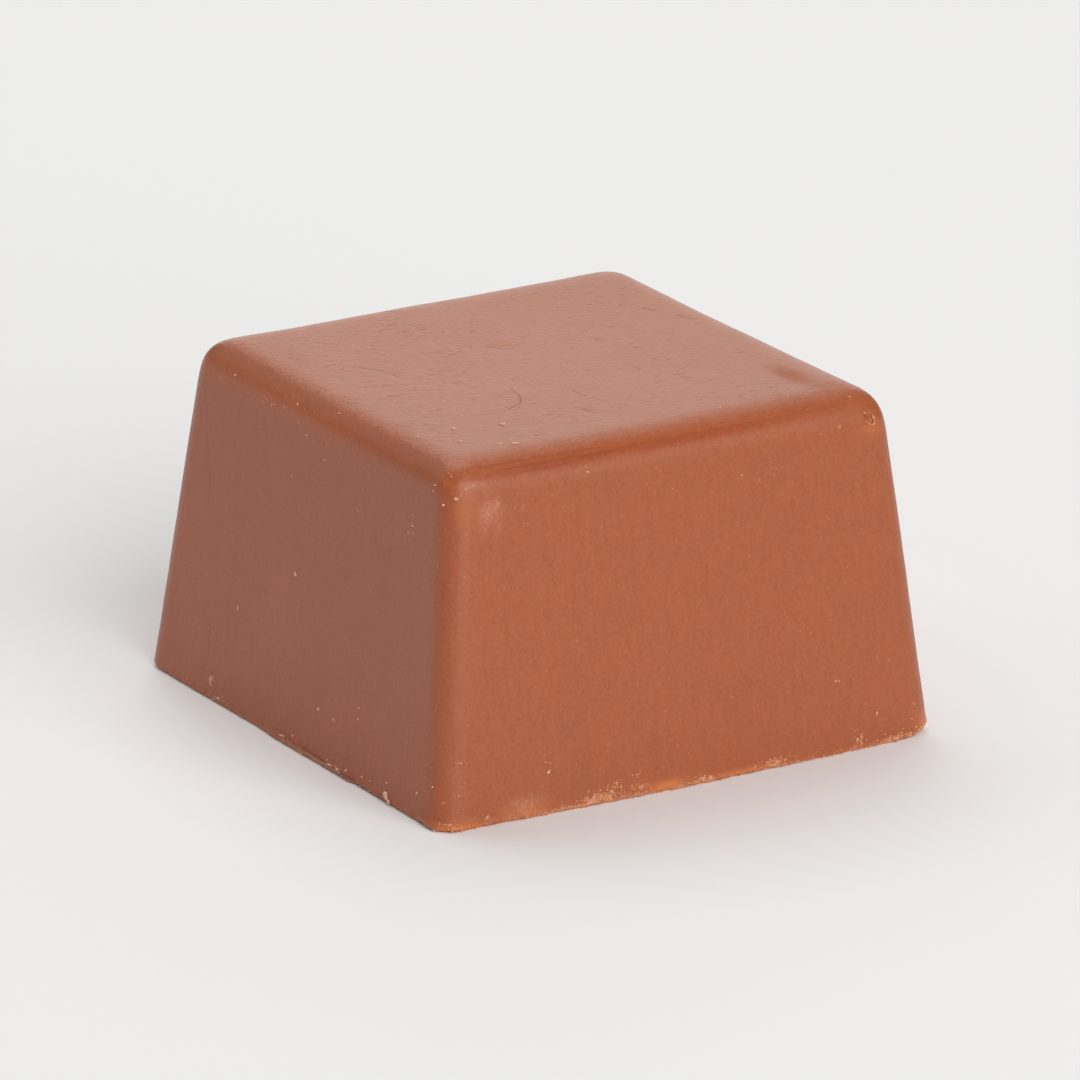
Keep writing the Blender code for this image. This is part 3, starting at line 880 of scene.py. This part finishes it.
# flecks seen one by one: place, half length, half width, and the long direction where
# one is seen; the rest lie at random
flecks = [
    # a large crumb at the base of the left face
    ((-13.42, -8.5, 0.42), 0.22, 0.13, (0, -0.6, -1)),
    ((-13.42, -8.8, 0.2), 0.13, 0.08),
    ((-13.4, -8.45, 1), 0.05, 0.04),
    # the front top corner
    ((-11.41, -10.73, 16.02), 0.075, 0.05),
    ((-10.68, -11.43, 15.63), 0.07, 0.04),
    ((-11.05, -11.45, 15.55), 0.14, 0.03),
    ((-11.89, -10.15, 15.5), 0.05, 0.04),
    ((-11.96, -10.09, 15.22), 0.04, 0.04),
    ((-11.52, -11.35, 15.13), 0.12, 0.08),
    ((-11.35, -11.45, 15.3), 0.06, 0.03),
    ((-11.92, -10.9, 14.78), 0.09, 0.045),
    # the left face
    ((-12.16, -8.63, 13.16), 0.065, 0.045),
    ((-12.2, -8.34, 12.75), 0.05, 0.04),
    ((-12.61, 0.99, 8.06), 0.13, 0.055, (0, -1, -0.9)),
    ((-11.93, 1.16, 14.62), 0.06, 0.035),
    ((-12.01, -0.6, 13.94), 0.05, 0.045),
    ((-12.15, 2.13, 12.4), 0.06, 0.03),
    ((-12.91, 5.76, 5), 0.14, 0.02, (0, -0.3, -1)),
    ((-13.18, -2.08, 2.53), 0.09, 0.05),
    ((-13.19, -3.45, 2.43), 0.1, 0.035),
    ((-13.13, -5.49, 3.11), 0.07, 0.04),
    ((-13.08, -5.48, 3.63), 0.06, 0.04),
    ((-13.21, -12.22, 1.98), 0.05, 0.04),
    ((-13.34, -11.04, 1.34), 0.06, 0.05),
    # the front face
    ((-4.7, -11.59, 15.32), 0.08, 0.05),
    ((-4.75, -11.5, 15.55), 0.05, 0.035),
    ((3.4, -11.89, 13.89), 0.05, 0.04),
    ((7.97, -12.23, 11.08), 0.06, 0.02),
    ((8.66, -13.09, 4.03), 0.07, 0.03),
    ((9.5, -13.3, 2.13), 0.08, 0.03),
    ((10.09, -13.35, 1.59), 0.13, 0.05, (0.3, 0, 1)),
    ((12.21, -13.25, 1.62), 0.1, 0.025),
    ((12.05, -13.35, 0.94), 0.09, 0.03),
    ((-7.69, -13.31, 2.02), 0.12, 0.08),
    ((-7.6, -13.3, 2.4), 0.06, 0.04),
    ((8.8, -11.67, 15.22), 0.12, 0.03, (0.35, 0, 1)),
    # the foot of the front corner
    ((-12.34, -13.13, 1.68), 0.06, 0.05),
    ((-12.99, -12.81, 1.36), 0.06, 0.05),
    ((-12.39, -12.93, 2.97), 0.05, 0.04),
    ((-11, -13.4, 0.45), 0.16, 0.09),
    ((-11.6, -13.35, 0.55), 0.06, 0.04),
    # round the nick
    ((10.31, -11.52, 15.62), 0.1, 0.055),
    ((10.74, -11.6, 15.36), 0.13, 0.07, (-0.15, 0, 1)),
    ((10.27, -11.68, 15.18), 0.1, 0.035),
    ((8.88, -11.66, 15.26), 0.09, 0.022, (0.15, 0, 1)),
    ((7.79, -11.71, 15.06), 0.06, 0.04),
    ((9.91, -10.86, 16.3), 0.06, 0.04),
    # the top
    ((-10.54, -6.43, 16.52), 0.1, 0.04),
    ((-9.27, -8.08, 16.5), 0.17, 0.05, (0.85, -0.53, 0)),
    ((-7.31, -9.53, 16.54), 0.24, 0.05, (0.85, -0.53, 0)),
    ((-6.29, -6.84, 16.5), 0.16, 0.05, (0.85, -0.53, 0)),
    ((-8.6, -6.3, 16.5), 0.1, 0.04),
    ((-7.9, -9.2, 16.52), 0.14, 0.03, (0.85, -0.53, 0)),
    ((3.5, -9.8, 16.5), 0.05, 0.04),
    ((-5.6, 4.9, 16.5), 0.06, 0.04),
    # the left top edge
    ((-11.68, 2.4, 15.72), 0.06, 0.04),
    ((-11.38, -0.86, 16.16), 0.1, 0.05),
    ((-11.71, 8, 15.54), 0.06, 0.04),
    # the lip
    ((-13.48, 0.7, 0.42), 0.2, 0.04, (0, -1, 0.18)),
    ((-13.5, -3.6, 0.36), 0.2, 0.045, (0, -1, 0.05)),
    ((-13.48, -4.3, 0.36), 0.1, 0.05, (0, -1, 0)),
    ((-13.41, 6.76, 0.33), 0.08, 0.05),
    ((-13.42, -0.05, 0.62), 0.07, 0.05),
    ((-13.42, -4.9, 0.5), 0.07, 0.05),
    ((-13.4, -6.28, 0.6), 0.06, 0.04),
    ((-13.4, -7, 0.62), 0.05, 0.04),
]
# middle, half width and half height, thickness, start and end in turns from the right,
# and lift off the skin
rings = {
    "leftFace": ((-13.36, 7.42, 0.95), 0.13, 0.22, 0.024, 0, 0.9, 0),
    "leftFaceInner": ((-13.36, 7.42, 0.95), 0.05, 0.1, 0.018, 0, 0.7, 0),
    "cornerArc": ((-11.55, -10.6, 16.05), 0.2, 0.18, 0.016, 0.05, 0.35, 0),
    "nick": ((10.48, -11.62, 15.4), 0.25, 0.22, 0.05, -0.46, 0.1, 0.12),
}


ringShape = {
    "steps": 40,
    "sides": 8,
    "stray": ((3, 0.1), (7, 0.06)),  # waves per turn of the ellipse, and their height
    "ends": 0.35,  # thickness at the two ends, as a share
    "knots": (5, 0.3),
}


def unitBall():
    # points at distance 1 from the middle, on a ball of small triangles
    shape = bmesh.new()
    bmesh.ops.create_icosphere(shape, subdivisions=lump["divisions"], radius=1)
    points = np.array([tuple(point.co) for point in shape.verts])
    faces = np.array([[point.index for point in face.verts] for face in shape.faces])
    shape.free()
    return points, faces


def lumpCloud(places, normals, lengths, widths, seed, ways=None):
    # each lump is the unit ball times (length, width, thickness), its points moved in or
    # out by up to rough, laid on the skin along its way or at random, with its middle
    # lifted off the skin
    draw = np.random.default_rng(seed)
    ball, faces = unitBall()
    count = len(places)
    side = np.cross(normals, draw.normal(size=(count, 3)))
    if ways is not None:
        flat = ways - normals * (ways * normals).sum(axis=1, keepdims=True)
        side = np.where(np.abs(ways).sum(axis=1, keepdims=True) > 0, flat, side)
    side /= np.linalg.norm(side, axis=1, keepdims=True)
    other = np.cross(normals, side)
    rough = 1 + draw.uniform(-lump["rough"], lump["rough"], (count, len(ball), 1))
    thick = widths * draw.uniform(*lump["thickness"], count)
    local = ball * rough * np.stack([lengths, widths, thick], axis=1)[:, None]
    points = (places + normals * (thick * lump["lift"])[:, None])[:, None]
    for axis, way in enumerate((side, other, normals)):
        points = points + local[..., axis : axis + 1] * way[:, None]
    index = faces[None] + (np.arange(count) * len(ball))[:, None, None]
    return points.reshape(-1, 3), index.reshape(-1, 3)


def pickPlaces(weights, count, seed):
    # points of the skin picked by weight, moved by up to a cell along the skin
    draw = np.random.default_rng(seed)
    chosen = draw.choice(len(weights), count, p=weights / weights.sum())
    normals = bodyNormals[chosen]
    jitter = draw.uniform(-crumbs["jitter"], crumbs["jitter"], (count, 3))
    jitter -= normals * (jitter * normals).sum(axis=1, keepdims=True)
    return bodyPoints[chosen] + jitter, normals


def keepInside(points):
    # each coordinate held between the frame's own lowest and highest
    low, high = np.array(cadBox) / mm
    return np.clip(points, low + crumbs["margin"], high - crumbs["margin"])


def crumbMaterial():
    # colours mixed by a noise, paler on the top and on the left face: a painted sheen
    material, nodes, surface = newMaterial("paleCrumbs")
    place = nodes.place()
    share = nodes.ramp(nodes.noise(place, *crumbs["mottle"]), *crumbs["mottleRange"])
    x, _, z = nodes.split(place)
    onTop = nodes.ramp(z, *crumbs["paintedSheenTop"])
    # how far a place lies inside the slanted plane of the left face
    inward = nodes.math("ADD", x, baseHalf)
    inward = nodes.math("MULTIPLY_ADD", z, -math.tan(draftAngle), inward)
    onLeft = nodes.ramp(inward, *crumbs["paintedSheenLeft"])
    plain, paler = (nodes.mix(share, *crumbs[name]) for name in ("colours", "paintedSheenColours"))
    colour = nodes.mix(nodes.larger(onTop, onLeft), plain, paler)
    values = (("Base Color", colour), ("Roughness", crumbs["roughness"]), ("IOR", chocolate["ior"]))
    nodes.put(surface, values)
    return material


def finishLumps(name, points, triangles):
    # a mesh of the triangles, in the crumbs' colours
    item = meshObject(name, keepInside(points), triangles.tolist())
    item.data.materials.append(paleCrumbs)
    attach(item, "root")
    return item


def makeCrumbs():
    # the clusters one by one, then the rim's crumbs and the dust over all the sides
    facts = crumbs
    low, high = facts["skin"]
    onSides = (bodyPoints[:, 2] > low) & (bodyPoints[:, 2] < high)
    draw = np.random.default_rng(facts["seed"])
    found, lengths = [], []
    for number, (middle, reach, count, small, large) in enumerate(facts["clusters"]):
        weights = bumpField(bodyPoints, [(middle, reach, 1)]) * onSides
        found.append(pickPlaces(weights, count, facts["seed"] + number))
        lengths.append(small + (large - small) * draw.random(count) ** 2)
    onRight = toRight(bodyPoints, facts["rimStarts"])
    for name, near in (("rim", heightBand(bodyPoints, facts["rimHeight"])), ("dust", 1)):
        count, sizes, onLeft = facts[name]
        weights = near * onSides * (onLeft + onRight)
        found.append(pickPlaces(weights, count, facts["seeds"][name]))
        lengths.append(draw.uniform(*sizes, count))
    places, normals = (np.concatenate(part) for part in zip(*found))
    lengths = np.concatenate(lengths)
    widths = lengths * draw.uniform(*facts["slimness"], len(lengths))
    return finishLumps("crumbs", *lumpCloud(places, normals, lengths, widths, facts["seed"]))


def makeRimLine():
    # crumbs along the base of the front and right sides, picked by the height band round
    # the line's middle, times the share towards the right, times middle * (1 + waves)
    facts = crumbs
    count, (low, high) = facts["line"]
    near = heightBand(bodyPoints, *facts["lineBand"]) * toRight(bodyPoints, facts["lineStarts"])
    usual, least, most = facts["lineWeights"]
    uneven = np.clip(usual + usual * waves(bodyPoints, *facts["lineUneven"]), least, most)
    weights = near * uneven * (bodyPoints[:, 2] > facts["skin"][0])
    places, normals = pickPlaces(weights, count, facts["seeds"]["line"])
    draw = np.random.default_rng(facts["seeds"]["sizes"])
    lengths = low + (high - low) * draw.random(count) ** 1.5
    lumps = lumpCloud(places, normals, lengths, facts["lineSlimness"] * lengths, facts["seeds"]["lumps"])
    return finishLumps("rimLine", *lumps)


def nearestSkin(places):
    # for each place the point of the skin at the least distance, and its normal
    near = np.array([np.argmin(((bodyPoints - place) ** 2).sum(axis=1)) for place in places])
    return bodyPoints[near], bodyNormals[near]


def makeFlecks():
    # each place moved along the normal onto the plane of the nearest point of the skin
    rows = [(*row, (0, 0, 0))[:4] for row in flecks]
    places, lengths, widths, ways = (np.array(part, float) for part in zip(*rows))
    skin, normals = nearestSkin(places)
    places = places - normals * ((places - skin) * normals).sum(axis=1, keepdims=True)
    lumps = lumpCloud(places, normals, lengths, widths, crumbs["seeds"]["flecks"], ways)
    return finishLumps("flecks", *lumps)


def ringTube(number, middle, width, height, thick, start, stop, lift):
    # a tube round an ellipse that lies on the skin: middle + w cos(t) across + h sin(t) up,
    # w and h straying by small waves, and the tube thinner at its ends and in knots
    skin, normal = (part[0] for part in nearestSkin([middle]))
    across = np.cross((0, 0, 1), normal)
    across /= np.linalg.norm(across)
    up = np.cross(normal, across)
    steps, sides = ringShape["steps"], ringShape["sides"]
    t = 2 * np.pi * np.linspace(start, stop, steps)
    draw = np.random.default_rng(crumbs["seeds"]["rings"] + number)
    stray = 1 + sum(tall * np.sin(count * t + draw.uniform(0, 6)) for count, tall in ringShape["stray"])
    line = (width * stray * np.cos(t))[:, None] * across + (height * stray * np.sin(t))[:, None] * up
    line += skin + lift * normal
    outwardWay = np.cos(t)[:, None] * across + np.sin(t)[:, None] * up
    ends, (knotCount, knotShare) = ringShape["ends"], ringShape["knots"]
    swell = ends + (1 - ends) * np.sin(np.linspace(0, np.pi, steps))
    radius = thick * swell * (1 + knotShare * np.sin(knotCount * t))
    turn = (np.arange(sides) * 2 * np.pi / sides)[:, None]
    spokes = np.cos(turn) * outwardWay[:, None] + np.sin(turn) * normal
    ring = line[:, None] + radius[:, None, None] * spokes
    index = np.arange(steps * sides).reshape(steps, sides)
    after = np.roll(index, -1, axis=1)
    first, last = (np.full(sides, steps * sides + end) for end in range(2))
    faces = [
        faceRows(index[:-1], index[1:], after[:-1]),
        faceRows(after[:-1], index[1:], after[1:]),
        faceRows(first, index[0], after[0]),
        faceRows(last, after[-1], index[-1]),
    ]
    return np.concatenate([ring.reshape(-1, 3), line[[0, -1]]]), np.concatenate(faces)


def makeRings():
    # all the tubes in one mesh, each one's faces counted on from the last
    points, faces, count = [], [], 0
    for number, facts in enumerate(rings.values()):
        tube, corners = ringTube(number, *facts)
        points.append(tube)
        faces.append(count + corners)
        count += len(tube)
    return finishLumps("rings", np.concatenate(points), np.concatenate(faces))


paleCrumbs = crumbMaterial()
makeCrumbs()
makeRimLine()
makeFlecks()
makeRings()
print("crumbs made")


# pale floor and soft lights
studio = {
    "floorSize": 3000,
    "floorColour": (0.95, 0.945, 0.985),
    "worldStrength": 0.237,
    "lightColour": (1, 1, 0.95),
    "aimHeight": 8,
    # azimuth, elevation, distance, size across and power; azimuth counts from -Y towards
    # +X, as the camera's does
    "lights": {
        "key": (0, 30, 700, 760, 4.14),
        "overBack": (165, 62, 600, 500, 1.23),
        "backCard": (149, 13, 500, 340, 0.325),
        "leftBack": (-145, 35, 700, 500, 0.44),
    },
}
viewpoint = {
    "azimuth": -31.97,
    "elevation": 19.01,
    "roll": 0.55,
    "distance": 466.8,
    "lens": 332.5,
    "target": (1.643, 2.604, 6.75),
}


def outward(azimuth, elevation):
    # the direction from the block to a place round it
    a, e = math.radians(azimuth), math.radians(elevation)
    return Vector((math.sin(a) * math.cos(e), -math.cos(a) * math.cos(e), math.sin(e)))


def makeFloor():
    # one flat square at height 0, dull so that it holds no reflections
    half = studio["floorSize"] / 2
    corners = np.array([[-half, -half, 0], [half, -half, 0], [half, half, 0], [-half, half, 0]])
    floor = meshObject("floor", corners, [[0, 1, 2, 3]], smooth=False)
    material, nodes, surface = newMaterial("paleFloor")
    colour = (*studio["floorColour"], 1)
    nodes.put(surface, (("Base Color", colour), ("Roughness", 1), ("Specular IOR Level", 0)))
    floor.data.materials.append(material)


def makeLights():
    # round lamps that face the block from all round
    for name, (azimuth, elevation, distance, size, power) in studio["lights"].items():
        lamp = bpy.data.lights.new(name, "AREA")
        lamp.shape = "DISK"
        lamp.size = size * mm
        lamp.energy = power
        lamp.color = studio["lightColour"]
        light = bpy.data.objects.new(name, lamp)
        away = outward(azimuth, elevation)
        light.location = (away * distance + Vector((0, 0, studio["aimHeight"]))) * mm
        light.rotation_euler = away.to_track_quat("Z", "Y").to_euler()
        bpy.context.scene.collection.objects.link(light)


def makeWorld():
    # the same weak light from every direction
    world = bpy.data.worlds.new("studio")
    world.use_nodes = True
    background = world.node_tree.nodes["Background"]
    background.inputs["Color"].default_value = (*studio["lightColour"], 1)
    background.inputs["Strength"].default_value = studio["worldStrength"]
    bpy.context.scene.world = world


def makeCamera():
    # its back along the outward direction, turned by the roll from level
    camera = bpy.data.objects.new("camera", bpy.data.cameras.new("camera"))
    camera.data.lens = viewpoint["lens"]
    back = outward(viewpoint["azimuth"], viewpoint["elevation"])
    place = (Vector(viewpoint["target"]) + back * viewpoint["distance"]) * mm
    turn = back.to_track_quat("Z", "Y") @ Quaternion((0, 0, 1), math.radians(viewpoint["roll"]))
    camera.matrix_world = Matrix.LocRotScale(place, turn, None)
    bpy.context.scene.collection.objects.link(camera)
    bpy.context.scene.camera = camera


makeFloor()
makeLights()
makeWorld()
makeCamera()
bpy.context.scene.view_settings.view_transform = "Standard"
print("studio set")
